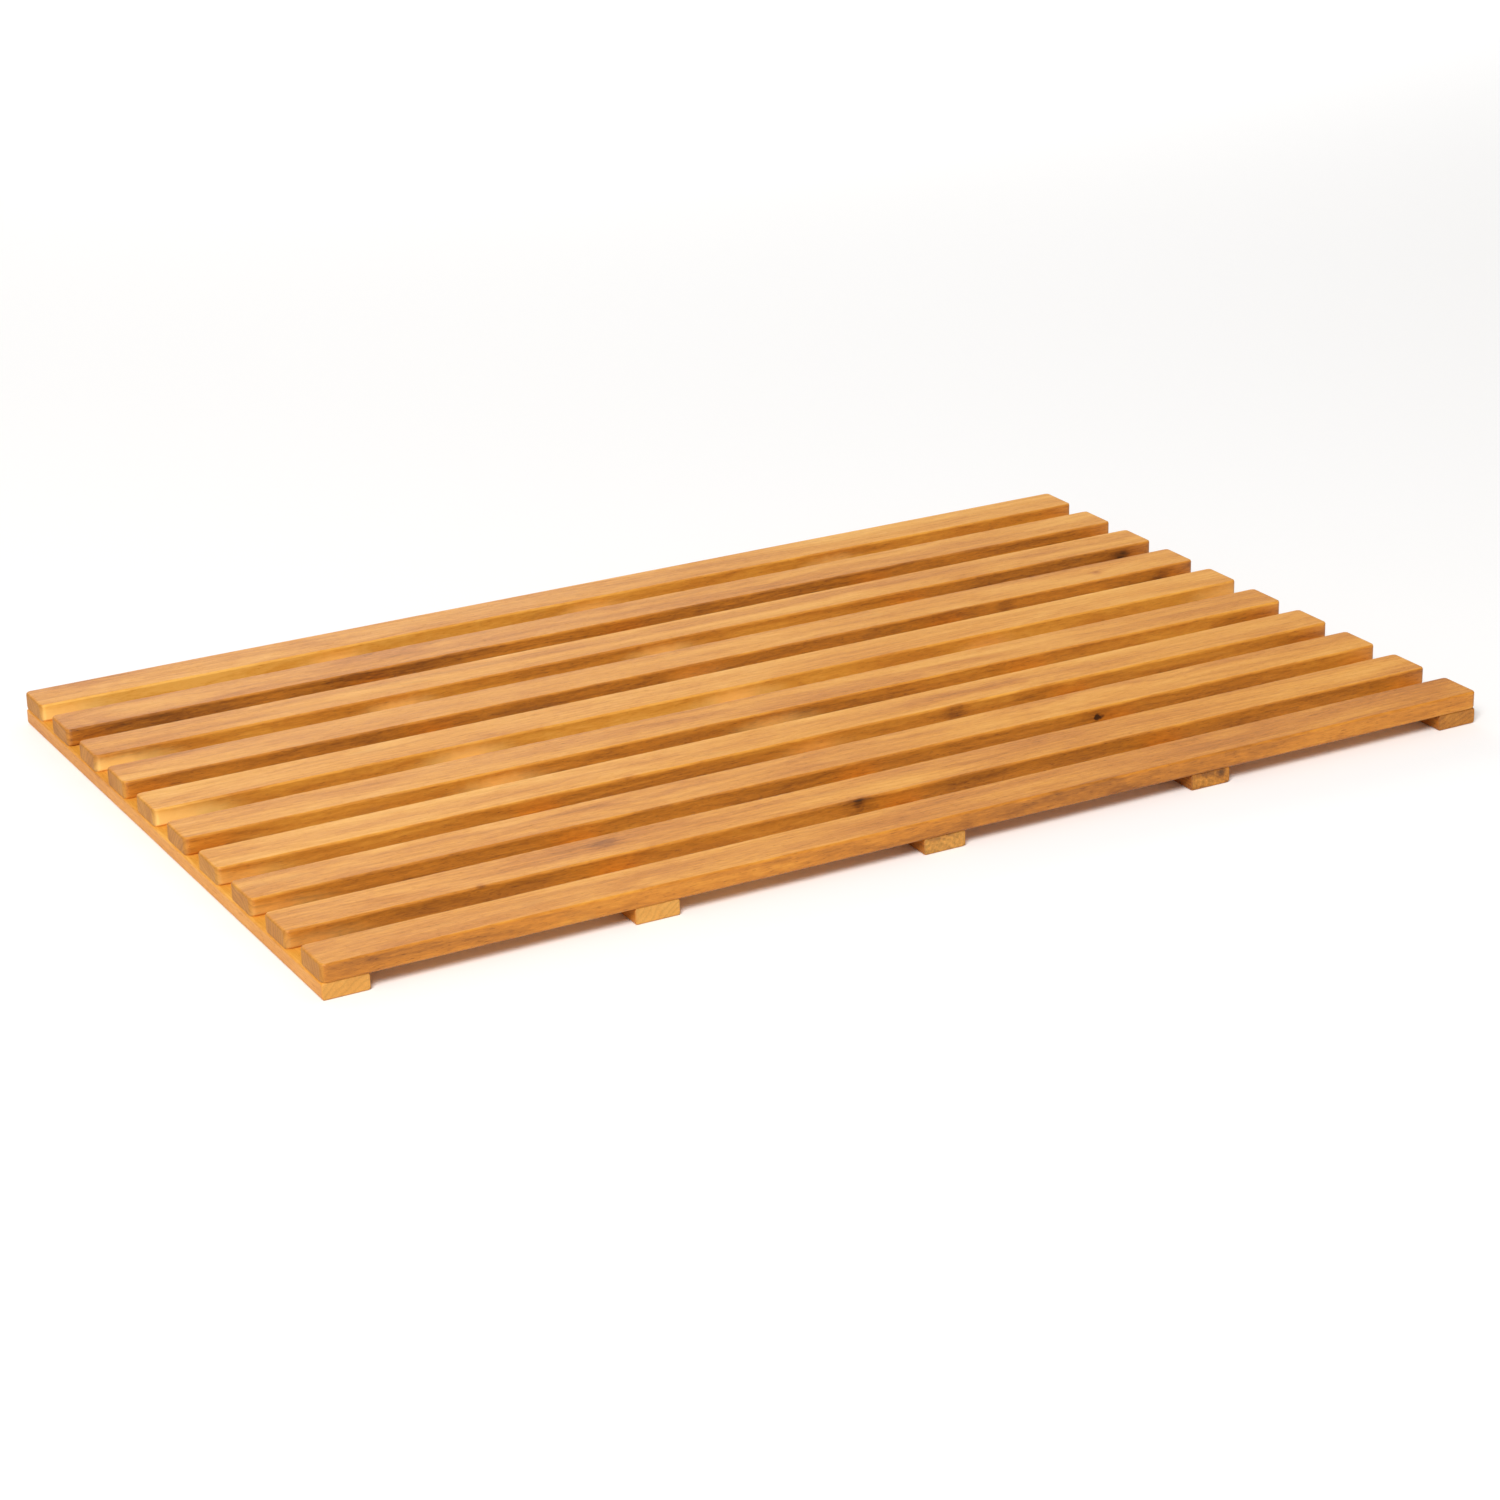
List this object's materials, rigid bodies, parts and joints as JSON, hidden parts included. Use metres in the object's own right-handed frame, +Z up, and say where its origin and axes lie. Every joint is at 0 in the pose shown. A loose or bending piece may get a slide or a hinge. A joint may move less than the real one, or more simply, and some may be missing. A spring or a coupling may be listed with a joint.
{
  "type": "bath mat",
  "caption": "Rigid slatted wooden bath mat: long slats with open drain gaps, laid across flat cross battens and screwed to them from below.",
  "frame": {"origin": "on the floor under the middle of the mat, at the bottom centre of its box", "axes": "+X along the slats, +Y across them towards slat_01, +Z up"},
  "size_m": [0.8, 0.5, 0.022],
  "materials": {
    "slat_wood": "oiled satin, golden brown hardwood",
    "batten_wood": "oiled satin, golden brown hardwood",
    "screw_steel": "zinc plated"
  },
  "bodies": {
    "root": {"slat_01": "slat_wood", "slat_02": "slat_wood", "slat_03": "slat_wood", "slat_04": "slat_wood", "slat_05": "slat_wood", "slat_06": "slat_wood", "slat_07": "slat_wood", "slat_08": "slat_wood", "slat_09": "slat_wood", "slat_10": "slat_wood", "batten_1": "batten_wood", "batten_2": "batten_wood", "batten_3": "batten_wood", "batten_4": "batten_wood", "batten_5": "batten_wood", "screws_1": "screw_steel", "screws_2": "screw_steel", "screws_3": "screw_steel", "screws_4": "screw_steel", "screws_5": "screw_steel"}
  },
  "joints": []
}
